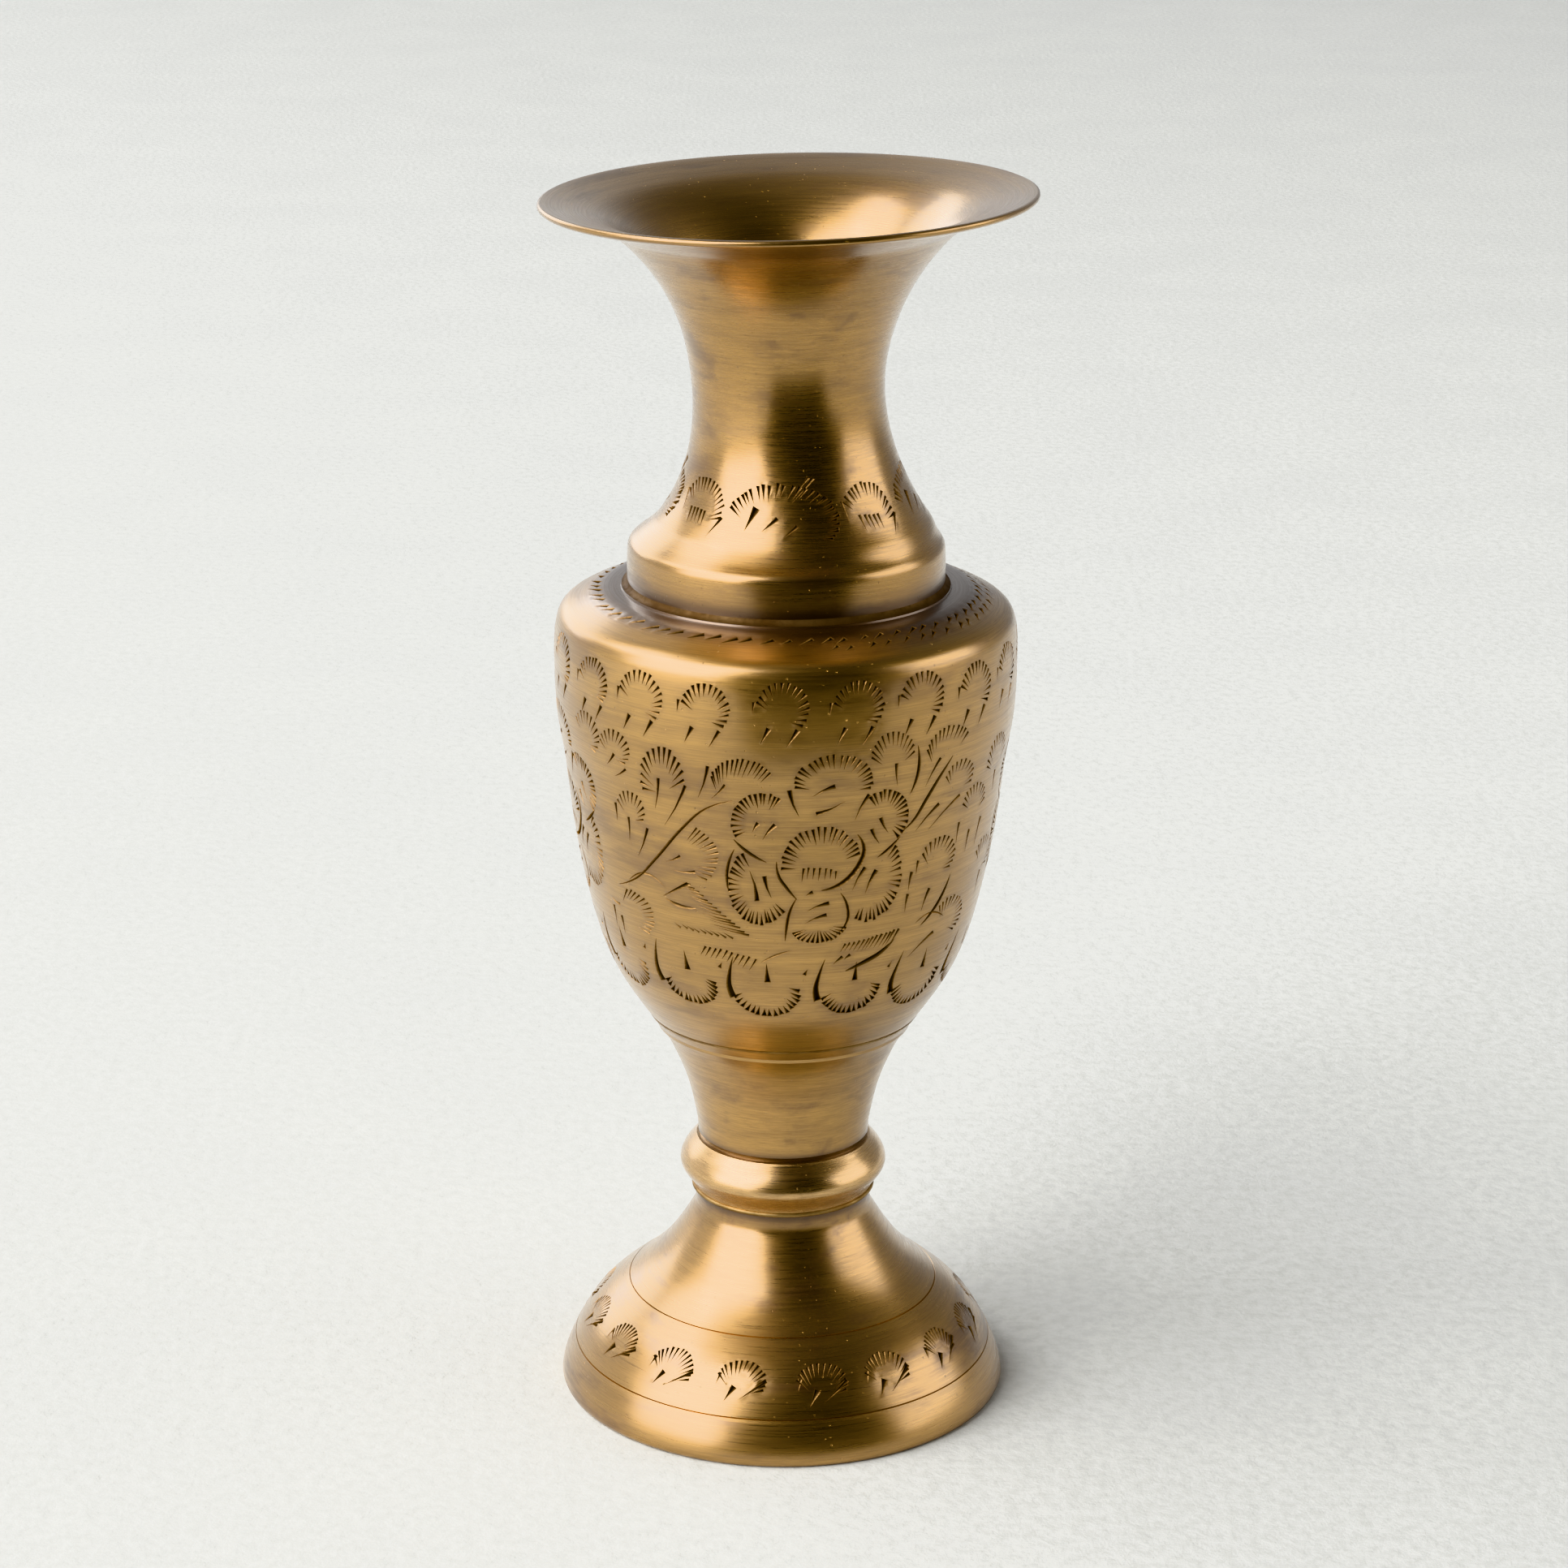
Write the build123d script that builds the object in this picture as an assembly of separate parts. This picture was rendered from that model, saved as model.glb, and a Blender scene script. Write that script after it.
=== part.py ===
from build123d import *

import os
from math import cos, radians, sin

# Engraved brass pedestal vase, made the way such vases are made in brass workshops: cast and turned shells,
# spigoted into each other and hard-soldered. Millimetres, +Z up, origin at the centre of the foot's rest plane.
#
# From the top: neck (mouth, waist and collar in one shell), bowl (shoulder and side), stem (a tapered cup whose
# spigot carries the ring and the foot), ring, foot, and a disc that closes the spigot so that the vase holds
# water. Each joint has its own run of solder.

# Driving dimensions
HEIGHT = 190.0  # rest plane to rim
RIM_R = 37.0
WAIST_R = 14.4  # narrowest place of the neck, outside
WAIST_Z = 160.5
COLLAR_R = 24.0  # drum that the neck stands on
COLLAR_TOP_Z = 137.4
BOWL_R = 35.2  # widest place of the bowl
BOWL_R_Z = 120.0
SEAT_Z = 131.0  # land on the shoulder that the collar stands on
SEAM_R = 21.3  # joint between bowl and stem, outside
SEAM_Z = 63.0
STEM_R = 13.4  # foot of the stem, where it meets the ring
RING_TOP_Z = 41.2
RING_R = 16.2
RING_FOOT_Z = 33.2
FOOT_TOP_R = 13.6
FOOT_R = 35.2

WALL = 1.3  # bowl and stem
NECK_WALL = 1.2
FOOT_WALL = 1.7
RIM_THICK = 1.0
SCRIBED_Z = (7.1, 16.8)  # two lines turned into the foot
SCRIBE_DEPTH = 0.22

# Fits and joints
GAP = 0.05  # between faces that solder runs into
MOUTH_R = 22.2  # hole in the shoulder
REGISTER_DEPTH = 2.6  # how far the collar's register drops into that hole
REGISTER_WALL = 1.1
LAND_R = 25.0  # outer edge of the shoulder's land
LAND_STEP = 0.3
LAP_DEPTH = 2.4  # how far the bowl's skirt goes down inside the stem
SPIGOT_R = 10.6
SPIGOT_WALL = 1.3
SPIGOT_END_Z = 26.5
HUB_R = 12.4  # thickened eye of the foot, round the spigot
HUB_END_Z = 28.2
DISC_THICK = 1.6
DISC_Z = 28.0
SOLDER = 0.75  # leg of a solder fillet
NECK_SOLDER = 0.9
CLEAR = 0.01  # keeps a fillet from touching what it is drawn against


def rz(*points):
    """Points of a half section, as (radius, height), on the XZ plane."""
    return [Vector(r, 0, z) for r, z in points]


def spun(edges):
    """The solid that a closed half section sweeps round Z."""
    return revolve(Face(Wire(edges)), Axis.Z, 360)


def path(*points):
    """Straight edges through the given points."""
    return [Edge.make_line(a, b) for a, b in zip(points[:-1], points[1:])]


def inset(curve, stations, distance):
    """Points the given distance inside a curve that runs upwards, for the wall's other face."""
    found = []
    for at in stations:
        along = curve.tangent_at(at)
        found.append(curve.position_at(at) + Vector(-along.Z, 0, along.X) * distance)
    return found


def neck():
    """Mouth, waist and collar: one shell, with a register that drops into the bowl's mouth."""
    waist_arc_r = 32.4
    centre_r = WAIST_R + waist_arc_r
    foot_z, lip_z = 139.0, 184.6

    def waist(radius):
        ends = [(centre_r - (radius**2 - (z - WAIST_Z) ** 2) ** 0.5, z) for z in (foot_z, lip_z)]
        return Edge.make_three_point_arc(*rz(ends[0], (centre_r - radius, WAIST_Z), ends[1]))

    def on_rim(degrees):
        half = RIM_THICK / 2
        return (RIM_R - half + half * cos(radians(degrees)), HEIGHT - half + half * sin(radians(degrees)))

    outside, inside = waist(waist_arc_r), waist(waist_arc_r + NECK_WALL)
    rim = Edge.make_three_point_arc(*rz(on_rim(-65), on_rim(10), on_rim(98)))
    lip_out = Edge.make_spline(
        [outside @ 1, *rz((28.9, 186.65), (33.2, 188.0)), rim @ 0], tangents=[outside % 1, rim % 0]
    )
    lip_in = Edge.make_spline(
        [rim @ 1, *rz((32.8, 189.15), (28.2, 187.75)), inside @ 1], tangents=[rim % 1, -(inside % 1)]
    )
    round_top = Edge.make_spline(
        [*rz((COLLAR_R, COLLAR_TOP_Z - 0.9), (23.65, COLLAR_TOP_Z + 0.45)), outside @ 0],
        tangents=[Vector(0, 0, 1), outside % 0],
    )
    register_r = MOUTH_R - GAP
    bore_r = register_r - REGISTER_WALL
    collar = path(
        inside @ 0,
        *rz((22.0, 137.3), (bore_r, 136.0), (bore_r, SEAT_Z - REGISTER_DEPTH)),
        *rz((register_r, SEAT_Z - REGISTER_DEPTH), (register_r, SEAT_Z), (COLLAR_R, SEAT_Z)),
        round_top @ 0,
    )
    return spun([*collar, round_top, outside, lip_out, rim, lip_in, inside])


def neck_solder():
    """Fillet of hard solder round the collar's foot."""
    inner, base_z = COLLAR_R + CLEAR, SEAT_Z + CLEAR
    corner, low, high = rz((inner, base_z), (inner + NECK_SOLDER, base_z), (inner, base_z + NECK_SOLDER))
    hollow_at = NECK_SOLDER * 0.38
    hollow = Edge.make_three_point_arc(low, *rz((inner + hollow_at, base_z + hollow_at)), high)
    return spun([*path(high, corner, low), hollow])


def bowl_side():
    """Outside of the bowl, from the seam up to its widest place."""
    return Edge.make_spline(
        rz(
            (SEAM_R, SEAM_Z),
            (25.3, 69.0),
            (28.3, 75.5),
            (30.6, 84.0),
            (32.4, 93.5),
            (33.9, 105.5),
            (BOWL_R, BOWL_R_Z),
        ),
        tangents=[Vector(0.57, 0, 0.82), Vector(0, 0, 1)],
    )


def bowl():
    """Shoulder and side, open at the mouth, with a skirt that laps inside the stem."""
    side = bowl_side()
    edge_low, edge_high = rz((35.0, 124.6), (32.5, 128.35))
    land_low, land_high = rz((LAND_R + 0.1, SEAT_Z - LAND_STEP), (LAND_R, SEAT_Z))
    cove = Edge.make_spline(
        [*rz((29.4, 129.8), (27.2, 130.5)), land_low], tangents=[Vector(-1, 0, 0.47), Vector(-1, 0, 0.1)]
    )
    turn = Edge.make_spline([side @ 1, edge_low], tangents=[Vector(0, 0, 1), Vector(-0.13, 0, 1)])
    corner = Edge.make_spline(
        [edge_low, *rz((34.2, 127.1)), edge_high], tangents=[Vector(-0.13, 0, 1), Vector(-1, 0, 0.47)]
    )
    inner = inset(side, [0.1, 0.25, 0.4, 0.55, 0.7, 0.85, 1.0], WALL)
    inner_side = Edge.make_spline(inner, tangents=[side % 0.1, Vector(0, 0, 1)])
    inner_top = path(
        inner_side @ 1, *rz((33.6, 124.4), (32.2, 126.7), (28.0, 128.8), (MOUTH_R, 129.3))
    )
    skirt_r = SEAM_R - WALL / 2
    skirt_in = SEAM_R - WALL - 0.5
    skirt = path(
        inner[0],
        *rz((skirt_in, SEAM_Z), (skirt_in - 0.9, SEAM_Z - LAP_DEPTH)),
        *rz((skirt_r - 0.9, SEAM_Z - LAP_DEPTH), (skirt_r, SEAM_Z), (SEAM_R, SEAM_Z)),
    )
    top = path(edge_high, cove @ 0)
    land = path(land_low, land_high, *rz((MOUTH_R, SEAT_Z), (MOUTH_R, 129.3)))
    inner_down = [inner_side, *inner_top]
    return spun([side, turn, corner, *top, cove, *land, *inner_down, *skirt])


def seam_solder():
    """Thread of solder that fills the bevel between bowl and stem."""
    high, low, root = rz(
        (SEAM_R + 0.04, SEAM_Z - 0.02), (SEAM_R - 0.2, SEAM_Z - 0.38), (SEAM_R - 0.5, SEAM_Z - 0.02)
    )
    return spun(path(high, low, root, high))


def stem():
    """Tapered cup that carries the bowl, with the spigot that holds the ring and the foot."""
    outside = Edge.make_spline(
        rz(
            (STEM_R, RING_TOP_Z + 0.9),
            (13.9, 46.0),
            (15.1, 51.0),
            (16.8, 55.4),
            (18.9, 59.5),
            (SEAM_R - 0.22, SEAM_Z - 0.4),
        ),
        tangents=[Vector(0, 0, 1), Vector(0.55, 0, 0.83)],
    )
    lap_r = SEAM_R - WALL / 2 + GAP
    bevel = path(
        outside @ 1,
        *rz((lap_r - 0.12, SEAM_Z - 0.4), (lap_r - 0.86, SEAM_Z - LAP_DEPTH - GAP)),
        *rz((18.0, SEAM_Z - LAP_DEPTH - GAP)),
    )
    well_r = SPIGOT_R - SPIGOT_WALL
    inside = Edge.make_spline(
        [*rz((18.0, SEAM_Z - LAP_DEPTH - GAP), (15.5, 55.4), (13.7, 51.0), (12.3, 46.0))],
        tangents=[Vector(-0.5, 0, -0.85), Vector(-0.1, 0, -1)],
    )
    spigot = path(
        inside @ 1,
        *rz((well_r, 41.5), (well_r, SPIGOT_END_Z), (SPIGOT_R, SPIGOT_END_Z)),
        *rz((SPIGOT_R, RING_TOP_Z), (STEM_R - 0.5, RING_TOP_Z), (STEM_R - 0.35, RING_TOP_Z + 0.5)),
        outside @ 0,
    )
    return spun([outside, *bevel, inside, *spigot])


def ring():
    """Turned bead with a rounded nose, threaded on the spigot between the stem and the foot."""
    bore_r = SPIGOT_R + GAP
    bead = Edge.make_spline(
        rz(
            (14.15, RING_FOOT_Z),
            (14.9, 34.6),
            (15.75, 35.7),
            (RING_R, 36.9),
            (16.0, 38.0),
            (15.05, 39.6),
            (13.65, RING_TOP_Z),
        )
    )
    flat = path(bead @ 1, *rz((bore_r, RING_TOP_Z), (bore_r, RING_FOOT_Z)), bead @ 0)
    return spun([bead, *flat])


def ring_solder():
    """Run of solder squeezed out between the ring and the foot."""
    bore_r, edge_r = SPIGOT_R + GAP, 14.4
    low_z = RING_FOOT_Z - 0.6
    bulge = Edge.make_three_point_arc(
        *rz((FOOT_TOP_R + 0.2, low_z), (edge_r, RING_FOOT_Z - 0.25), (14.05, RING_FOOT_Z))
    )
    flat = path(bulge @ 1, *rz((bore_r, RING_FOOT_Z), (bore_r, low_z)), bulge @ 0)
    return spun([bulge, *flat])


def foot_outside():
    """Outside of the bell-shaped foot, from its lower edge up to the eye."""
    return Edge.make_spline(
        rz(
            (FOOT_R, 1.0),
            (34.4, 4.0),
            (32.3, 8.4),
            (29.3, 12.6),
            (25.2, 16.15),
            (20.7, 20.0),
            (16.7, 25.0),
            (14.1, 29.3),
            (FOOT_TOP_R, RING_FOOT_Z - 0.6),
        ),
        tangents=[Vector(-0.1, 0, 1), Vector(-0.05, 0, 1)],
    )


def scribed_groove(outside, z):
    """V-shaped groove to cut from the outside of a shell, at one height."""
    at = min((n / 400 for n in range(401)), key=lambda t: abs((outside @ t).Z - z))
    middle, along = outside @ at, outside % at
    outward = Vector(along.Z, 0, -along.X)
    root = middle - outward * SCRIBE_DEPTH
    above = middle + (outward + along) * SCRIBE_DEPTH
    below = middle + (outward - along) * SCRIBE_DEPTH
    return spun(path(root, above, below, root))


def foot():
    """Bell-shaped foot, hollow below, with an eye for the spigot."""
    outside = foot_outside()
    bore_r = SPIGOT_R + GAP
    inner = inset(outside, [0.1, 0.25, 0.4, 0.55, 0.7, 0.8], FOOT_WALL)
    inside = Edge.make_spline(inner)
    top_z = RING_FOOT_Z - 0.6
    eye = path(
        inside @ 1, *rz((HUB_R, HUB_END_Z), (bore_r, HUB_END_Z), (bore_r, top_z)), outside @ 1
    )
    tread_out, tread_in = 34.6, 32.6
    toe = Edge.make_three_point_arc(*rz((tread_out, 0), (35.02, 0.3), (FOOT_R, 1.0)))
    tread = path(*rz((tread_out, 0), (tread_in, 0)), inside @ 0)
    shell = spun([outside, *eye, inside, *tread, toe])
    for z in SCRIBED_Z:
        shell -= scribed_groove(outside, z)
    return shell


def spigot_solder():
    """Fillet of solder between the foot's eye and the spigot, on the underside."""
    inner, top_z = SPIGOT_R + CLEAR, HUB_END_Z - CLEAR
    corner, along, down = rz((inner, top_z), (inner + SOLDER, top_z), (inner, top_z - SOLDER))
    return spun(path(corner, along, down, corner))


def floor_disc():
    """Disc soldered into the spigot, which closes the vase."""
    disc = Cylinder(SPIGOT_R - SPIGOT_WALL - GAP, DISC_THICK, align=(Align.CENTER, Align.CENTER, Align.MIN))
    return Pos(0, 0, DISC_Z) * disc


def floor_solder():
    """Fillet of solder round the disc, inside the vase."""
    well_r = SPIGOT_R - SPIGOT_WALL - CLEAR
    top_z = DISC_Z + DISC_THICK + CLEAR
    corner, along, up = rz((well_r, top_z), (well_r - SOLDER, top_z), (well_r, top_z + SOLDER))
    return spun(path(corner, along, up, corner))


os.makedirs("parts", exist_ok=True)
for piece in (
    neck,
    neck_solder,
    bowl,
    seam_solder,
    stem,
    ring,
    ring_solder,
    foot,
    spigot_solder,
    floor_disc,
    floor_solder,
):
    export_step(piece(), f"parts/{piece.__name__}.step")
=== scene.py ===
"""Engraved brass pedestal vase on a pale floor, in daylight from the left.

The CAD gives every outline: each shell here is its CAD node's half section, spun again with a finer skin.
Every stroke of the graver is cut into that skin as real geometry. Outlines and strokes are in millimetres."""

import random
from math import cos, dist, exp, pi, radians, sin

import bpy
import numpy as np
from mathutils import Matrix, Vector
from mathutils.geometry import delaunay_2d_cdt


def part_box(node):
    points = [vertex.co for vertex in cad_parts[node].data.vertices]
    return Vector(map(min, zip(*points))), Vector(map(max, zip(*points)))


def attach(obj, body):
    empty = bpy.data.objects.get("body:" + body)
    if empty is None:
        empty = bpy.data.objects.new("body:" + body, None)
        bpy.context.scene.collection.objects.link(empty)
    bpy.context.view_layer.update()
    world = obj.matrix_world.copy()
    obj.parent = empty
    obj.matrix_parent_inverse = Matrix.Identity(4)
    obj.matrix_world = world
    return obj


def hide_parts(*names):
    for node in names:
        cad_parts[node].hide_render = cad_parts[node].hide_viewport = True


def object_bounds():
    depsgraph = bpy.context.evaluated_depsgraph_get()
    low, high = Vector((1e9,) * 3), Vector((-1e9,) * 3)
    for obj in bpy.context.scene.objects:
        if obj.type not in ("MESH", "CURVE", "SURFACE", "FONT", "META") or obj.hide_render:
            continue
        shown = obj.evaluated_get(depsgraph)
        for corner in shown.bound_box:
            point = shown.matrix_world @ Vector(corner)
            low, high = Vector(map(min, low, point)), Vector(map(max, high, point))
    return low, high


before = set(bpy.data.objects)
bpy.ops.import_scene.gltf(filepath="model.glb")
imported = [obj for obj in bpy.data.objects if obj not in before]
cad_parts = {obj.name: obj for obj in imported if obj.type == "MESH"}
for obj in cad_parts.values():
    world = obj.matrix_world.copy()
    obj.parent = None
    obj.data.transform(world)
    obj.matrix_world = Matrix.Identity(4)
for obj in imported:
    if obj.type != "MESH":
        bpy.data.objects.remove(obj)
cad_low, cad_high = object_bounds()

MM = 0.001
FULL_TURN = 2 * pi
CORNER = radians(28)  # an outline turns this sharply only at a real edge
COLUMNS = 288  # facets round a plain band
END_WALL = 0.09  # mm that a stroke's square head slopes over
LEAN = 0.25  # a stroke's floor lies this share of its half width to the left of its middle
hand = random.Random(11)  # the unevenness of hand work, the same on every run


def wander(most):
    return hand.uniform(-most, most)


def unit(rows):
    return rows / np.linalg.norm(rows, axis=1)[:, None]


def distances(points):
    """How far along a line each of its points is."""
    return np.concatenate([[0], np.cumsum(np.linalg.norm(np.diff(points, axis=0), axis=1))])


def placed(name, data):
    """A new object in the scene."""
    made = bpy.data.objects.new(name, data)
    bpy.context.scene.collection.objects.link(made)
    return made


def eased(value, low, high):
    """0 below low, 1 above high, and a smooth ramp between."""
    share = np.clip((value - low) / (high - low), 0, 1)
    return share * share * (3 - 2 * share)


# ---- outlines from the CAD


def half_section(node):
    """Closed outline of a turned node as rows of (radius, height) in mm, material on its left."""
    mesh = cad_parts[node].data
    places = [(round(v.co.x / MM, 4), round(v.co.z / MM, 4)) for v in mesh.vertices]
    on_plane = [abs(v.co.y) < 1e-7 and v.co.x > 1e-6 for v in mesh.vertices]
    links = {}
    for edge in mesh.edges:
        a, b = edge.vertices
        if on_plane[a] and on_plane[b] and places[a] != places[b]:
            links.setdefault(places[a], set()).add(places[b])
            links.setdefault(places[b], set()).add(places[a])
    loose = [p for p, near in links.items() if len(near) == 1]  # a flat face has no edge in the plane
    same_height = 1e-3  # mm
    while loose:
        end = loose.pop()
        level = [p for p in loose if abs(p[1] - end[1]) < same_height]
        other = min(level or loose, key=lambda p: dist(p, end))
        loose.remove(other)
        links[end].add(other)
        links[other].add(end)
    start = max(links)
    loop, last = [start], None
    while True:
        here = loop[-1]
        step = next((p for p in links[here] if p != last and p not in loop[1:]), None)
        if step is None or step == start and len(loop) > 2:
            break
        last = here
        loop.append(step)
    points = np.array(loop)
    r, z = points.T
    area = np.sum(r * np.roll(z, -1) - np.roll(r, -1) * z) / 2
    return points if area > 0 else points[::-1]


def turning(points):
    """Angle that a closed outline turns through at each point."""
    before = points - np.roll(points, 1, axis=0)
    after = np.roll(points, -1, axis=0) - points
    cross = before[:, 0] * after[:, 1] - before[:, 1] * after[:, 0]
    return np.arctan2(cross, np.sum(before * after, axis=1))


def through(points, at):
    """Smooth curve through points, read at the given distances along it."""
    if len(points) < 3:
        ends = np.array([0, np.linalg.norm(points[1] - points[0])])
        return np.stack([np.interp(at, ends, points[:, k]) for k in (0, 1)], axis=1)
    along = distances(points)
    gaps = np.linalg.norm(np.diff(points, axis=0), axis=1)
    slopes = np.diff(points, axis=0) / gaps[:, None]
    weights = gaps[1:] / (gaps[1:] + gaps[:-1])
    inner = slopes[:-1] * weights[:, None] + slopes[1:] * (1 - weights)[:, None]
    tangents = np.vstack([2 * slopes[:1] - inner[:1], inner, 2 * slopes[-1:] - inner[-1:]])
    k = np.clip(np.searchsorted(along, at, side="right") - 1, 0, len(gaps) - 1)
    h, t = gaps[k][:, None], ((at - along[k]) / gaps[k])[:, None]
    a, b, ta, tb = points[k], points[k + 1], tangents[k], tangents[k + 1]
    start_part = (1 + 2 * t) * (1 - t) ** 2 * a + t * (1 - t) ** 2 * h * ta
    return start_part + t * t * (3 - 2 * t) * b + t * t * (t - 1) * h * tb


class Outline:
    """A turned node's outline, cut at its corners into smooth runs, each sampled evenly."""

    def __init__(self, node, step):
        points = half_section(node)
        turns = turning(points)
        corners = [i for i, a in enumerate(turns) if abs(a) > CORNER]
        self.runs, start = [], 0.0
        for a, b in zip(corners, corners[1:] + [corners[0] + len(points)]):
            run = points[[i % len(points) for i in range(a, b + 1)]]
            gaps = np.linalg.norm(np.diff(run, axis=0), axis=1)
            total = gaps.sum()
            row_step = step if len(run) > 2 else 4 * step  # a straight run needs fewer rows
            rows = max(1, round(total / row_step))
            at = np.linspace(0, total, rows + 1)
            self.runs.append({"points": run, "start": start, "length": total, "at": at})
            start += total

    def place(self, run, at):
        """(radius, height) and outward normal at distances along one run."""
        nudge = 0.02
        points = run["points"]
        low, high = (np.clip(at + way, 0, run["length"]) for way in (-nudge, nudge))
        along = unit(through(points, high) - through(points, low))
        spots = np.clip(through(points, at), points.min(axis=0), points.max(axis=0))
        return spots, np.stack([along[:, 1], -along[:, 0]], axis=1)


# ---- strokes of the graver


class Skin:
    """The engraved stretch of an outline, unrolled.

    Turn is in radians, 0 at the front and growing to the right. Along is in mm from the run's start."""

    def __init__(self, outline, run, low, high):
        self.outline, self.run, self.low, self.high = outline, run, low, high
        self.table = np.linspace(low, high, 400)
        self.rz = outline.place(run, self.table)[0]
        self.mean_r = float(self.rz[:, 0].mean())
        self.strokes = []

    def radius(self, along):
        return np.interp(along, self.table, self.rz[:, 0])


class Anchor:
    """Where a motif is drawn on a skin, and how much taller it is drawn than its own numbers say."""

    def __init__(self, skin, degrees, z, tall=1.0):
        self.skin, self.turn, self.tall = skin, radians(degrees), tall
        upward = np.argsort(skin.rz[:, 1])
        self.along = float(np.interp(z, skin.rz[upward, 1], skin.table[upward]))


class Stroke:
    """One cut through points, in mm from its anchor, tail first, with its full width at each point."""

    def __init__(self, anchor, points, widths, depth, square=True):
        self.skin, self.turn, self.along = anchor.skin, anchor.turn, anchor.along
        self.centre = np.array(points, dtype=float) * (1.0, anchor.tall)
        self.half = np.array(widths, dtype=float) / 2
        self.depth, self.square = depth, square
        self.skin.strokes.append(self)

    def unrolled(self, points):
        """Points in mm from the anchor, as (turn, along)."""
        along = self.along + points[:, 1]
        return np.stack([self.turn + points[:, 0] / self.skin.radius(along), along], axis=1)

    def rolled(self, places):
        """The other way: (turn, along) as mm from the anchor."""
        turn = (places[:, 0] - self.turn + pi) % FULL_TURN - pi
        return np.stack([turn * self.skin.radius(places[:, 1]), places[:, 1] - self.along], axis=1)

    def lines(self):
        """Left and right edges and floor, in mm from the anchor."""
        along = unit(np.gradient(self.centre, axis=0))
        side = np.stack([-along[:, 1], along[:, 0]], axis=1) * self.half[:, None]
        floor = self.centre + side * LEAN
        if self.square:
            floor[-1] -= along[-1] * END_WALL
        return self.centre + side, self.centre - side, floor

    def depth_at(self, spots):
        """How deep it is at spots given in mm from the anchor."""
        deepest = np.zeros(len(spots))
        centre, half = self.centre, self.half
        last = len(centre) - 2
        for k in range(last + 1):
            step = centre[k + 1] - centre[k]
            long = np.linalg.norm(step)
            ahead = (spots - centre[k]) @ step / long
            across = (spots - centre[k]) @ np.array([-step[1], step[0]]) / long
            share = ahead / long
            inside = (share > -0.02) & (share < 1.0001)
            wide = np.maximum(half[k] + (half[k + 1] - half[k]) * np.clip(share, 0, 1), 1e-6)
            middle = LEAN * wide
            left, right = (wide - across) / (wide - middle), (across + wide) / (middle + wide)
            fall = np.clip(np.where(across > middle, left, right), 0, 1)
            depth = self.depth * (wide / half.max()) ** 0.85 * fall
            if k == last and self.square:
                depth *= np.clip((long - ahead) / END_WALL, 0, 1)
            deepest = np.maximum(deepest, np.where(inside, depth, 0))
        return deepest


def wedge(anchor, head, tail, width, depth, bend=0.0):
    """A push of the graver: it enters at the tail and stops dead at a wide, square head."""
    head, tail = np.array(head, float), np.array(tail, float)
    along = head - tail
    side = np.array([-along[1], along[0]]) * bend
    wobble = 1 + wander(0.12)
    spots = [tail, tail + along * 0.45 + side, tail + along * 0.8 + side * 0.6, head]
    shares = [0.06, 0.42, 0.78, 1.0]  # of the full width, at each spot
    Stroke(anchor, spots, [width * s * wobble for s in shares], depth * wobble)


def wedges(anchor, pushes, width, depth, bend):
    """Pushes of one size, each from its head to its tail."""
    for head, tail in pushes:
        wedge(anchor, head, tail, width, depth, bend)


def fan(anchor, centre, radii, span, count, length, width=0.56, depth=0.3, aim=(0, 0)):
    """Cuts side by side round an ellipse, heads outward, tails towards the centre moved by aim."""
    cx, cy = centre
    first, last = radians(span[0]), radians(span[1])
    for n in range(count):
        share = n / (count - 1)
        angle = first + (last - first) * share + wander(0.03)
        reach = 1 + wander(0.03)
        head = np.array([cx + radii[0] * cos(angle) * reach, cy + radii[1] * sin(angle) * reach])
        inward = np.array([cx + aim[0], cy + aim[1]]) - head
        inward /= np.linalg.norm(inward)
        long = length * (1 + wander(0.16))
        wedge(anchor, head, head + inward * long, width, depth)


def row(anchor, start, end, count, lean, lengths, width=0.5, depth=0.27, rise=0.0):
    """Cuts side by side along a line, heads on the line, all leaning one way."""
    start, end = np.array(start, float), np.array(end, float)
    direction = np.array([cos(radians(lean)), sin(radians(lean))])
    for n in range(count):
        share = n / (count - 1)
        head = start + (end - start) * share + np.array([0, rise * 4 * share * (1 - share)])
        head += np.array([wander(0.08), wander(0.1)])
        long = (lengths[0] + (lengths[1] - lengths[0]) * share) * (1 + wander(0.12))
        wedge(anchor, head, head + direction * long, width, depth)


def groove(anchor, points, width, depth, heavy_end=False):
    """A long line through points. It swells in the middle, or towards its end."""
    points = np.array(points, float)
    long = distances(points)[-1]
    spacing, hairline = 0.9, 0.05
    at = np.linspace(0, long, max(5, int(long / spacing) + 2))
    spots = through(points, at)
    share = at / long
    swell = share**0.8 if heavy_end else np.sin(np.pi * np.clip(share, 0.02, 0.98)) ** 0.6
    Stroke(anchor, spots, np.maximum(width * swell, hairline), depth, square=heavy_end)


# ---- what is engraved: every motif is drawn at an anchor


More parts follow.
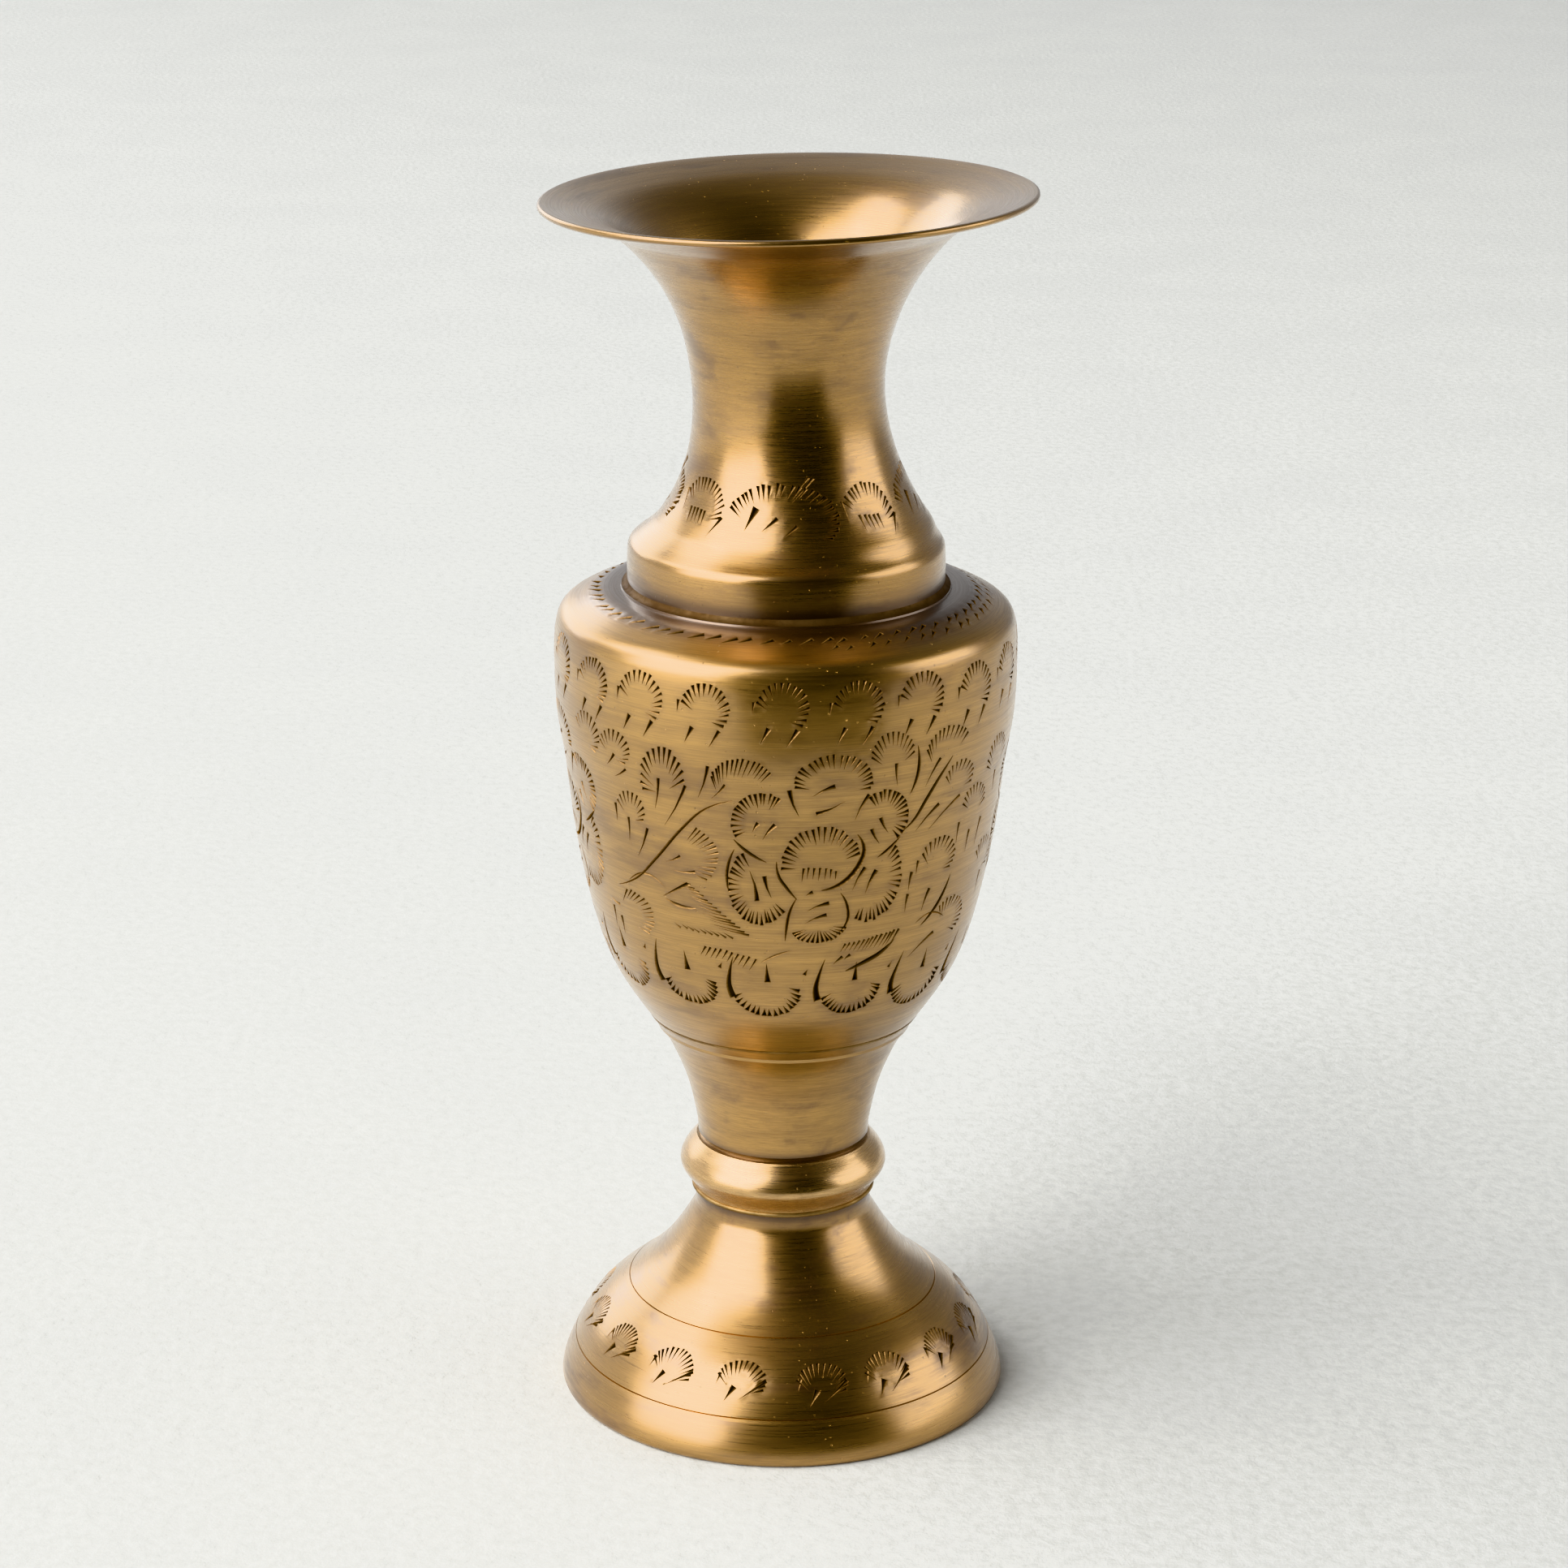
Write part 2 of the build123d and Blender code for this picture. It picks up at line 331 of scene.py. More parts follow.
def flower(at):
    """Six petals of short cuts round a cushion-shaped eye."""
    broad = dict(width=0.62, depth=0.32)
    fan(at, (1.7, 11.1), (5.9, 3.9), (188, -18), 20, 1.9, aim=(0, -1.5))
    fan(at, (-8.8, 4.9), (4.5, 4.7), (55, 205), 16, 1.9, **broad)
    fan(at, (9.5, 4.9), (4.3, 4.3), (122, -48), 16, 1.9, **broad)
    fan(at, (-8.8, -4.2), (4.8, 6.0), (128, 318), 23, 1.9)
    fan(at, (7.7, -3.7), (5.3, 6.6), (40, -112), 19, 1.8)
    fan(at, (0.0, -10.1), (4.4, 3.0), (208, 342), 14, 1.8)
    fan(at, (0.1, -0.6), (5.9, 5.1), (190, 8), 20, 2.1, aim=(0, -1.0))
    row(at, (-2.5, -1.4), (2.5, -2.1), 7, -98, (2.0, 1.5), width=0.46, rise=0.25)
    closing = (
        [(-12.9, 2.5), (-11.1, 1.0), (-8.0, -0.6)],
        [(12.5, 1.8), (10.7, 0.4), (8.8, -0.7)],
        [(-12.8, 1.0), (-13.7, -1.5), (-13.5, -5.3)],
        [(-3.4, -6.0), (-4.4, -8.4), (-4.7, -10.6), (-4.8, -12.6)],
        [(3.2, -5.5), (4.3, -7.6), (4.5, -9.6), (2.8, -12.0)],
        [(-6.5, -0.5), (-6.1, -2.7), (-4.9, -4.4), (-3.3, -6.2)],
    )
    for line in closing:
        groove(at, line, 0.5, 0.22)
    groove(at, [(5.5, 3.0), (6.6, 0.6), (5.6, -1.9), (3.5, -3.9), (0.3, -4.9)], 0.85, 0.3)
    marks = (
        ((1.8, 10.5), (-1.5, 9.1)), ((-0.9, 6.5), (3.3, 8.1)), ((-4.9, 10.1), (-3.4, 6.2)),
        ((7.1, 8.8), (5.0, 5.2)), ((-9.3, 5.1), (-10.1, 3.8)), ((-6.8, 4.9), (-8.6, 2.7)),
        ((9.1, 5.1), (10.4, 2.7)), ((7.7, 3.6), (9.0, 1.3)), ((-9.2, -6.5), (-10.4, -2.0)),
        ((-8.2, -2.7), (-7.1, -5.9)), ((6.9, -2.0), (5.0, -5.2)), ((8.7, -2.6), (7.0, -6.0)),
        ((1.5, -6.9), (-1.8, -8.0)), ((1.2, -8.7), (-2.0, -9.9)), ((-1.0, -5.1), (-2.0, -5.6)),
    )
    wedges(at, marks, 0.74, 0.34, bend=0.05)


FINE = 0.42  # mm, the width of the sprays' cuts


def spray_of_leaves(at):
    """The gap on one side of a flower: a curved stalk, with open leaves above and feathered ones below."""
    stalk = [(-13.3, 8.2), (-17.6, 6.4), (-21.2, 3.0), (-25.4, -1.9), (-29.5, -6.0), (-33.5, -8.0)]
    groove(at, stalk, 0.5, 0.2)
    groove(at, [(-31.0, -6.6), (-27.0, -4.8), (-24.0, -6.2)], 0.36, 0.14)
    fan(at, (-24.6, 9.9), (3.9, 4.9), (205, 8), 14, 2.5, aim=(0, -2))
    fan(at, (-11.9, 11.0), (4.8, 3.4), (168, 28), 15, 2.4, width=FINE, aim=(-2.5, -5))
    fan(at, (-30.6, 4.1), (2.9, 2.9), (160, -20), 10, 1.8, width=FINE, aim=(0, -1.5))
    fan(at, (-33.9, 12.8), (3.4, 2.7), (165, -42), 12, 1.7, width=FINE, aim=(-0.6, -1.5))
    fan(at, (-41.0, 13.4), (3.7, 3.2), (150, -45), 12, 1.8, width=FINE, aim=(0, -1.5))
    fan(at, (-19.6, -0.6), (4.4, 4.2), (78, -52), 13, 2.6, width=0.38, depth=0.2, aim=(-3.5, -1.5))
    fan(at, (-31.0, -12.0), (5.0, 3.8), (98, -38), 13, 2.3, width=0.4, depth=0.2, aim=(-3, -1))
    row(at, (-19.6, -5.0), (-10.2, -12.0), 14, 171, (1.8, 5.2), width=FINE, depth=0.24)
    row(at, (-21.0, -12.0), (-12.6, -12.7), 9, 152, (1.3, 1.9), width=0.36, depth=0.14)
    row(at, (-16.9, -14.5), (-9.0, -15.7), 10, -118, (1.6, 2.0), width=FINE, rise=0.35)
    groove(at, [(-24.2, -7.6), (-22.0, -6.2), (-20.0, -5.0)], 0.7, 0.3, heavy_end=True)
    groove(at, [(-23.8, -7.9), (-20.4, -8.7), (-18.6, -8.6)], 0.6, 0.24)
    groove(at, [(-8.2, -16.2), (-6.0, -14.9), (-3.9, -14.2)], 0.34, 0.15)
    marks = (
        ((-25.2, 10.1), (-25.7, 5.4)), ((-20.6, 9.7), (-24.0, 3.2)), ((-17.1, 13.0), (-18.5, 8.2)),
        ((-14.4, 10.5), (-16.4, 8.3)), ((-33.9, 4.5), (-33.5, 1.9)), ((-31.0, 3.0), (-30.8, -0.8)),
        ((-27.2, 2.1), (-29.1, -2.6)), ((-33.9, 12.0), (-35.5, 10.1)), ((-31.4, 10.2), (-33.8, 8.6)),
        ((-21.3, -1.0), (-23.7, -2.2)), ((-18.8, -3.0), (-22.4, -3.3)), ((-33.6, -11.4), (-36.0, -10.9)),
        ((-35.4, -12.0), (-34.8, -15.4)), ((-33.4, -13.2), (-32.7, -16.0)),
    )
    wedges(at, marks, 0.56, 0.28, bend=-0.04)


def spray_of_shells(at):
    """The gap on the other side: a straight stalk with a cluster of small shells, and a leaf below."""
    groove(at, [(12.9, 2.6), (14.8, 3.9), (16.9, 6.5), (19.3, 9.5), (21.8, 12.2)], 0.6, 0.24)
    shells = (
        ((10.7, 14.3), (3.5, 3.2), (182, 0), 13, 1.9, FINE, (0, -2.5)),
        ((21.1, 13.7), (4.4, 3.0), (172, 26), 12, 1.9, FINE, (-2.5, -4)),
        ((23.9, 8.6), (3.3, 2.6), (165, -28), 11, 1.7, FINE, (-1.5, -2)),
        ((28.4, 3.8), (3.3, 2.6), (172, -10), 11, 1.7, FINE, (0, -2)),
        ((20.2, -2.7), (3.7, 3.1), (155, -42), 13, 1.9, 0.44, (-1.5, -2)),
        ((23.9, -13.0), (3.9, 3.2), (132, -60), 14, 1.9, FINE, (-2, -1)),
        ((35.2, 8.2), (3.8, 4.2), (182, 18), 12, 2.0, FINE, (0, -2)),
        ((33.5, -6.0), (3.5, 3.0), (150, -40), 11, 1.8, FINE, (-1, -1.5)),
    )
    for centre, radii, span, count, length, width, aim in shells:
        fan(at, centre, radii, span, count, length, width, aim=aim)
    row(at, (4.4, -13.6), (13.2, -12.4), 13, -124, (1.6, 2.9), width=0.44)
    groove(at, [(4.6, -18.0), (7.3, -17.0), (10.1, -15.8), (12.4, -14.0)], 0.8, 0.3)
    groove(at, [(23.2, -6.1), (21.6, -9.0), (17.4, -12.8)], 0.6, 0.26)
    groove(at, [(16.3, -12.2), (18.6, -11.3), (22.4, -12.6)], 0.34, 0.14)
    marks = (
        ((11.3, 12.9), (11.6, 9.6)), ((19.3, 12.4), (16.6, 8.6)), ((19.6, 5.4), (15.2, 2.2)),
        ((24.2, 5.7), (17.6, 1.9)), ((24.5, 1.5), (24.0, -1.6)), ((27.4, -0.3), (26.6, -3.5)),
        ((30.9, 0.7), (29.4, -3.2)), ((16.0, -2.4), (15.7, -4.4)), ((14.9, -3.9), (14.4, -6.7)),
        ((14.4, -7.2), (14.0, -10.0)), ((18.6, -7.2), (17.2, -10.5)), ((20.4, -14.7), (15.3, -17.6)),
        ((35.2, 6.6), (34.9, 3.6)), ((33.2, -8.4), (32.4, -12.0)), ((4.0, -15.6), (2.6, -16.7)),
        ((5.2, -15.4), (4.2, -16.1)),
    )
    wedges(at, marks, 0.56, 0.28, bend=0.04)
    groove(at, [(14.9, 14.9), (15.1, 11.0), (13.9, 8.0)], 0.6, 0.26)


def arch(at):
    """One scallop of the band under the shoulder: an open arch of cuts with two slanting ones under it."""
    size = hand.uniform(0.92, 1.08)
    fan(at, (0, 0), (3.8 * size, 3.8 * size), (166, -42), 15, 1.8, aim=(-0.4, -1.5))
    wedge(at, (-4.2, 0.9), (-4.4, -0.9), 0.55, 0.26)
    wedge(at, (-2.0, -3.0), (-3.2, -5.4), 0.78, 0.36)
    wedge(at, (2.2, -3.2), (0.6, -5.8), 0.78, 0.36)


def hanging_arch(at):
    """One scallop of the lowest band: deeper cuts, and a heavy line down its left side."""
    size = hand.uniform(0.92, 1.05)
    radii = (5.0 * size, 5.0 * size)
    fan(at, (0.2, 0), radii, (196, 362), 16, 1.7, width=0.8, depth=0.42, aim=(0, 2.5))
    heavy_line = [(-4.7, 6.4), (-5.3, 3.6), (-5.5, 0.8), (-4.9, -1.4)]
    groove(at, heavy_line, 1.15, 0.5, heavy_end=True)
    wedge(at, (0.4, 2.0), (0.3, 5.4), 1.0, 0.44)
    wedge(at, (5.9, 3.4), (6.4, 4.4), 0.6, 0.22)


def engrave_bowl(skin):
    """Four flowers with their sprays, between a band of arches and a band of hanging arches."""
    first_flower, flower_z, tall = 9.2, 98.1, 1.1
    for n in range(4):
        at = Anchor(skin, first_flower + 90 * n, flower_z, tall)
        flower(at)
        if n % 2:
            spray_of_shells(Anchor(skin, first_flower + 90 * (n - 1), flower_z, tall))
        else:
            spray_of_leaves(at)
    arches, first_arch, arch_z = 20, -1.0, 121.3
    for n in range(arches):
        turn = first_arch + 360 / arches * n + wander(1)
        arch(Anchor(skin, turn, arch_z + wander(0.4)))
    hanging, first_hanging, hanging_z, slope = 14, -5.0, 75.0, 1.2  # the band dips towards the right
    for n in range(hanging):
        turn = first_hanging + 360 / hanging * n + wander(0.8)
        dip = slope * sin(radians(turn - 5))
        hanging_arch(Anchor(skin, turn, hanging_z - dip + wander(0.3)))


def engrave_shoulder(skin):
    """Slanting nicks round the collar: long at the left, short in front, in two rows at the right."""
    count, middle_z = 66, 129.9
    for n in range(count):
        turn = 360 / count * n + wander(1)
        at = Anchor(skin, turn, middle_z + wander(0.08))
        leftness = sin(radians(-turn - 10))
        reach = (1.1 + 0.75 * max(leftness, 0)) * hand.uniform(0.8, 1.15)
        wedge(at, (0.85 * reach, 0.5 * reach), (-0.85 * reach, -0.55 * reach), 0.8, 0.36)
        if leftness < -0.35:
            wedge(at, (1.5, -1.2), (0.1, -2.3), 0.74, 0.32)


def wide_arch(at):
    """The broad arch of the neck's band, with three slanting cuts under it."""
    fan(at, (0, -0.5), (8.6, 5.9), (160, 50), 16, 2.2, width=0.62, depth=0.3, aim=(-2.5, -3))
    fan(at, (0, -0.5), (8.6, 5.9), (44, -24), 13, 1.8, width=0.58, depth=0.28, aim=(-1, -2))
    wedge(at, (4.6, 6.3), (1.4, 2.6), 0.6, 0.26)
    wedge(at, (3.9, 6.4), (2.6, 4.8), 0.5, 0.2)
    wedge(at, (-3.8, 1.7), (-5.6, -1.9), 1.15, 0.4)
    wedge(at, (-0.6, 0.3), (-3.0, -1.9), 0.7, 0.28)
    wedge(at, (2.3, -0.8), (0.0, -3.0), 0.75, 0.28)


def narrow_arch(at):
    """The tall arch between two broad ones, with a nest of cuts hanging in it."""
    size = hand.uniform(0.95, 1.05)
    fan(at, (0, 0), (4.5 * size, 5.0 * size), (150, -6), 15, 2.0, width=0.54, depth=0.28, aim=(0, -2))
    wedge(at, (-4.3, 2.6), (-4.0, -0.8), 0.5, 0.2)
    wedge(at, (4.8, -0.4), (3.4, -3.8), 0.7, 0.28)
    row(at, (-2.0, 0.2), (1.3, 0.1), 5, -82, (2.5, 2.5), width=0.56, depth=0.26)


def engrave_neck(skin):
    """Broad and tall arches by turns."""
    first, z = -6.5, 145.2
    for n in range(8):
        at = Anchor(skin, first + 45 * n + wander(1.5), z)
        if n % 2:
            narrow_arch(at)
        else:
            wide_arch(at)


def engrave_foot(skin):
    """Sixteen scallop shells between the two scribed lines."""
    first, z = 11.0, 11.7
    for n in range(16):
        at = Anchor(skin, first + 22.5 * n + wander(1.2), z + wander(0.25))
        size = hand.uniform(0.9, 1.06)
        radii = (3.8 * size, 3.4 * size)
        fan(at, (-0.1, 0), radii, (163, -18), 14, 2.3, width=0.5, depth=0.28, aim=(-0.8, -2.4))
        wedge(at, (-1.0, -0.8), (-2.4, -3.2), 1.05, 0.4)
        wedge(at, (3.9, 0.3), (-0.3, -2.9), 0.66, 0.28)
        wedge(at, (-3.4, 1.1), (-4.0, -0.8), 0.6, 0.24)


# ---- from strokes to mesh


class Relief:
    """Soft swelling and tarnish round the strokes, on a fine grid over the skin."""

    CELL = 0.16  # mm

    def __init__(self, skin):
        self.skin = skin
        self.wide = round(FULL_TURN * skin.mean_r / self.CELL)
        self.tall = max(8, round((skin.high - skin.low) / self.CELL))
        self.swell = np.zeros((self.tall, self.wide))
        self.soot_and_shade = np.zeros((self.tall, self.wide))
        for item in skin.strokes:
            self.press(item)

    def press(self, item):
        """Each stroke throws up a thin burr and leaves the metal round it sunk and darker. Lengths in mm."""
        spacing, reach = 0.35, 14  # from spot to spot, and how many cells each way a spot changes
        burr_height, burr_away, burr_wide = 0.022, 0.12, 0.17
        sink, dark_wide = 0.03, 0.42
        reached = distances(item.centre)
        at = np.arange(0.15 * reached[-1], reached[-1], spacing)
        x, y, w = (np.interp(at, reached, column) for column in (*item.centre.T, item.half))
        along = item.along + y
        radii = self.skin.radius(along)
        for t, s, r, width in zip(item.turn + x / radii, along, radii, w):
            row_at = round((s - self.skin.low) / self.CELL)
            column_at = round((t + pi) / FULL_TURN * self.wide)
            rows = np.arange(max(0, row_at - reach), min(self.tall, row_at + reach + 1))
            if not len(rows):
                continue
            columns = np.arange(column_at - reach, column_at + reach + 1)
            dy = rows * self.CELL + self.skin.low - s
            dx = (columns / self.wide * FULL_TURN - pi - t) * r
            gap = np.hypot(dx[None, :], dy[:, None])
            away = gap - width
            burr = burr_height * np.exp(-(((away - burr_away) / burr_wide) ** 2))
            sunk = -sink * (width / 0.3) ** 1.5 * np.exp(-((gap / (0.55 + 1.4 * width)) ** 2))
            dark = np.exp(-((np.maximum(away, 0) / dark_wide) ** 2))
            cells = np.ix_(rows, columns % self.wide)
            before = self.swell[cells]
            self.swell[cells] = np.where(np.abs(burr + sunk) > np.abs(before), burr + sunk, before)
            self.soot_and_shade[cells] = np.maximum(self.soot_and_shade[cells], dark)

    def read(self, grid, places):
        """Grid values at (turn, along) places."""
        across = (places[:, 0] + pi) / FULL_TURN * self.wide
        up = np.clip((places[:, 1] - self.skin.low) / self.CELL, 0, self.tall - 1.001)
        i, j = np.floor(up).astype(int), np.floor(across).astype(int)
        fi, fj = up - i, across - j
        j0, j1 = j % self.wide, (j + 1) % self.wide
        low, high = (grid[k, j0] * (1 - fj) + grid[k, j1] * fj for k in (i, i + 1))
        return low * (1 - fi) + high * fi

    def fade(self, places):
        """Nothing swells at the edges of the skin, where plain bands join it."""
        room = np.minimum(places[:, 1] - self.skin.low, self.skin.high - places[:, 1])
        return np.clip(room / 0.5, 0, 1)

    def slopes(self, places):
        """Change of swell per mm, round and along."""
        nudge = 0.14
        still = np.zeros(len(places))
        sides = []
        for move in ((nudge / self.skin.radius(places[:, 1]), still), (still, still + nudge)):
            offset = np.stack(move, axis=1)
            rise = self.read(self.swell, places + offset) - self.read(self.swell, places - offset)
            sides.append(rise / (2 * nudge) * self.fade(places))
        return sides


def lattice(skin, pitch):
    """Even spread of points over the skin, in staggered rows."""
    rows = int((skin.high - skin.low) / (pitch * 0.866))  # the height of a triangle with even sides
    spots = []
    for n in range(1, rows):
        along = skin.low + (skin.high - skin.low) * n / rows
        count = int(FULL_TURN * skin.radius(along) / pitch)
        turns = (np.arange(count) + 0.5 + 0.5 * (n % 2)) / count * FULL_TURN - pi
        limit = pi - 0.4 * pitch / skin.mean_r
        turns = turns[(turns > -limit) & (turns < limit)]
        spots.append(np.stack([turns, np.full(len(turns), along)], axis=1))
    return np.vstack(spots)


def near_cells(places, size):
    """Places sorted into square cells, for quick neighbour look-up."""
    cells = {}
    for n, (a, b) in enumerate(np.floor(places / size).astype(int)):
        cells.setdefault((a, b), []).append(n)
    return cells


def depths(skin, places):
    """Depth of the deepest stroke at each (turn, along) place."""
    scale = np.array([skin.mean_r, 1.0])
    size = 2.0
    cells = near_cells(places * scale, size)
    found = np.zeros(len(places))
    for item in skin.strokes:
        spread = item.unrolled(np.vstack(item.lines()[:2])) * scale
        low, high = (np.floor(end(spread, axis=0) / size).astype(int) for end in (np.min, np.max))
        picked = []
        for a in range(low[0], high[0] + 1):
            for b in range(low[1], high[1] + 1):
                picked += cells.get((a, b), [])
        if picked:
            found[picked] = np.maximum(found[picked], item.depth_at(item.rolled(places[picked])))
    return found


def engraved_patch(skin, pitch):
    """Triangles that follow every stroke's edges and floor. Strokes past the skin's border are dropped."""
    width, low, high = skin.mean_r, skin.low, skin.high
    turns = np.linspace(-pi, pi, COLUMNS + 1)
    side_rows = max(2, round((high - low) / pitch))
    sides = np.linspace(low, high, side_rows + 1)[1:-1]
    border = [(t, low) for t in turns] + [(pi, s) for s in sides]
    border += [(t, high) for t in turns[::-1]] + [(-pi, s) for s in sides[::-1]]
    count = len(border)
    places = [np.array(border)]
    edges = [(n, (n + 1) % count) for n in range(count)]
    kept = []
    margin, clearance = 0.25, 0.16  # mm from the border, and from a stroke to the plain points
    limit = pi - margin / width
    for item in skin.strokes:
        lines = item.lines()
        shape = item.unrolled(np.vstack(lines))
        laps = FULL_TURN * ((shape[0, 0] + pi) // FULL_TURN)
        shape[:, 0] -= laps
        item.turn -= laps
        inside = low + margin <= shape[:, 1].min() and shape[:, 1].max() <= high - margin
        if np.abs(shape[:, 0]).max() > limit or not inside:
            continue
        kept.append(item)
        n = len(lines[0])
        outline = [*range(n), *range(2 * n - 1, n - 1, -1)]
        edges += [(count + outline[k], count + outline[(k + 1) % (2 * n)]) for k in range(2 * n)]
        edges += [(count + 2 * n + k, count + 2 * n + k + 1) for k in range(n - 1)]
        if item.square:
            edges += [(count + 3 * n - 1, count + end * n - 1) for end in (1, 2)]
        places.append(shape)
        count += 3 * n
    skin.strokes = kept
    fill = lattice(skin, pitch)
    places.append(fill[far_from(fill, np.vstack(places), width, clearance)])
    spots = [Vector((turn * width, along)) for turn, along in np.vstack(places)]
    out_points, _, out_faces, _, _, _ = delaunay_2d_cdt(spots, edges, [], 0, 1e-4)
    return np.array([(p.x / width, p.y) for p in out_points]), np.array(out_faces)


def far_from(spots, taken, width, gap):
    """Which spots keep a clear gap from every taken place."""
    size = 0.5
    scale = np.array([width, 1.0])
    stretched = taken * scale
    cells = near_cells(stretched, size)
    clear = np.ones(len(spots), dtype=bool)
    for n, spot in enumerate(spots * scale):
        a, b = np.floor(spot / size).astype(int)
        for i in (a - 1, a, a + 1):
            for j in (b - 1, b, b + 1):
                near = cells.get((i, j))
                if near and np.min(np.sum((stretched[near] - spot) ** 2, axis=1)) < gap * gap:
                    clear[n] = False
    return clear


class Build:
    """Collects corners, faces and surface facts of one turned piece."""

    def __init__(self):
        self.points, self.faces, self.normals = [], [], []
        self.round, self.soot_and_shade, self.cut, self.in_cut = [], [], [], []
        self.count = 0

    def add_points(self, turn, rz, along, soot_and_shade, cut):
        """Corner points at (radius, height) in mm, turned round the axis. Returns their first index."""
        first = self.count
        r = rz[:, 0]
        spots = np.stack([r * np.sin(turn), -r * np.cos(turn), rz[:, 1]], axis=1)
        self.points.append(spots * MM)
        self.round.append(np.stack([np.sin(turn), -np.cos(turn), along], axis=1))
        self.soot_and_shade.append(soot_and_shade)
        self.cut.append(cut)
        self.count += len(spots)
        return first

    def mesh(self, name, bend=None):
        """One closed mesh, its coincident points joined and its corner normals kept."""
        points = np.vstack(self.points)
        same_place = 1e-7  # metres
        keys = np.round(points / same_place).astype(np.int64)
        _, first, joined = np.unique(keys, axis=0, return_index=True, return_inverse=True)
        joined = joined.reshape(-1)
        faces, normals, paints = [], [], []
        for face, normal, in_cut in zip(self.faces, self.normals, self.in_cut):
            corners = [int(joined[i]) for i in face]
            if len(set(corners)) == len(corners):
                faces.append(corners)
                normals.extend(normal)
                paints.append(int(in_cut))
        spots = points[first]
        if bend:
            corners = spots[[i for face in faces for i in face]]
            normals = bent_normals(corners, np.array(normals), bend)
            spots = bent_points(spots, bend)
        mesh = bpy.data.meshes.new(name)
        mesh.from_pydata(spots.tolist(), [], faces)
        mesh.polygons.foreach_set("use_smooth", [True] * len(faces))
        mesh.polygons.foreach_set("material_index", paints)
        for title, kind, values in (
            ("round", "FLOAT_VECTOR", np.vstack(self.round)[first]),
            ("soot_and_shade", "FLOAT", np.concatenate(self.soot_and_shade)[first]),
            ("cut", "FLOAT", np.concatenate(self.cut)[first]),
        ):
            layer = mesh.attributes.new(title, kind, "POINT")
            layer.data.foreach_set("vector" if kind == "FLOAT_VECTOR" else "value", values.ravel())
        mesh.normals_split_custom_set(normals)
        return mesh


def turned_normals(turn, flat):
    """Normals in the half plane, swung to their place round the axis."""
    return np.stack([flat[:, 0] * np.sin(turn), -flat[:, 0] * np.cos(turn), flat[:, 1]], axis=1)


def add_band(build, outline, run, at, corner_shade_at):
    """Plain rows of facets along part of a run."""
    turns = np.linspace(-pi, pi, COLUMNS + 1)
    count = len(turns)
    firsts, normals = [], []
    for along, place, flat in zip(at, *outline.place(run, at)):
        facts = (np.full(count, value) for value in (run["start"] + along, corner_shade_at(place), 0.0))
        firsts.append(build.add_points(turns, np.tile(place, (count, 1)), *facts))
        normals.append(turned_normals(turns, np.tile(flat, (count, 1))).tolist())
    for a, b, low, high in zip(firsts, firsts[1:], normals, normals[1:]):
        for k in range(COLUMNS):
            build.faces.append((a + k, a + k + 1, b + k + 1, b + k))
            build.normals.append((low[k], low[k + 1], high[k + 1], high[k]))
            build.in_cut.append(False)


def add_engraved(build, skin, pitch, corner_shade_at):
    """The engraved stretch: sunk to the strokes' depth, flat in the cuts and smooth between them."""
    shallowest = 0.004  # mm that counts as inside a cut
    places, faces = engraved_patch(skin, pitch)
    turn, along = places.T
    relief = Relief(skin)
    rz, flat = skin.outline.place(skin.run, along)
    sunk = depths(skin, places)
    edge = (np.abs(along - skin.low) < 1e-6) | (np.abs(along - skin.high) < 1e-6)
    swell = relief.read(relief.swell, places) * relief.fade(places)
    spots = rz + flat * np.where(edge, 0, swell - sunk)[:, None]
    # darkening: tarnish round the strokes, and the painted shade of the corners
    soot_and_shade = np.maximum(relief.read(relief.soot_and_shade, places) * relief.fade(places), [corner_shade_at(p) for p in rz])
    first = build.add_points(turn, spots, skin.run["start"] + along, soot_and_shade, sunk)
    out = turned_normals(turn, flat)
    round_way = np.stack([np.cos(turn), np.sin(turn), np.zeros(len(turn))], axis=1)
    up_way = turned_normals(turn, np.stack([-flat[:, 1], flat[:, 0]], axis=1))
    tilt_round, tilt_up = relief.slopes(places)
    smooth = unit(out - round_way * tilt_round[:, None] - up_way * tilt_up[:, None])
    in_cut = depths(skin, places[faces].mean(axis=1)) > shallowest
    solid = np.vstack(build.points)[first:][faces]
    facet = np.cross(solid[:, 1] - solid[:, 0], solid[:, 2] - solid[:, 0])
    facet /= np.maximum(np.linalg.norm(facet, axis=1), 1e-12)[:, None]
    wrong = np.sum(facet * out[faces[:, 0]], axis=1) < 0
    for n, (a, b, c) in enumerate(faces):
        order = (a, c, b) if wrong[n] else (a, b, c)
        build.faces.append(tuple(first + k for k in order))
        build.in_cut.append(in_cut[n])
        if in_cut[n]:
            build.normals.append([(-facet[n] if wrong[n] else facet[n]).tolist()] * 3)
        else:
            build.normals.append([smooth[k].tolist() for k in order])


def bent_points(points, bend):
    """Points moved sideways by the bend's offset, and up, the more to the right, by its tilt."""
    offset, tilt = bend(points[:, 2] / MM)
    moved = points.copy()
    moved[:, 0] += offset * MM
    moved[:, 2] += points[:, 0] * tilt
    return moved


def bent_normals(points, normals, bend):
    """Normals after bent_points, from how fast the offset and the tilt change with height."""
    z, nudge = points[:, 2] / MM, 0.05
    tilt = bend(z)[1]
    offset_slope, tilt_slope = (np.array(bend(z + nudge)) - bend(z - nudge)) / (2 * nudge)
    turned = normals.copy()
    turned[:, 0] = (1 + points[:, 0] / MM * tilt_slope) * normals[:, 0] - tilt * normals[:, 2]
    turned[:, 2] = normals[:, 2] - offset_slope * normals[:, 0]
    return unit(turned)


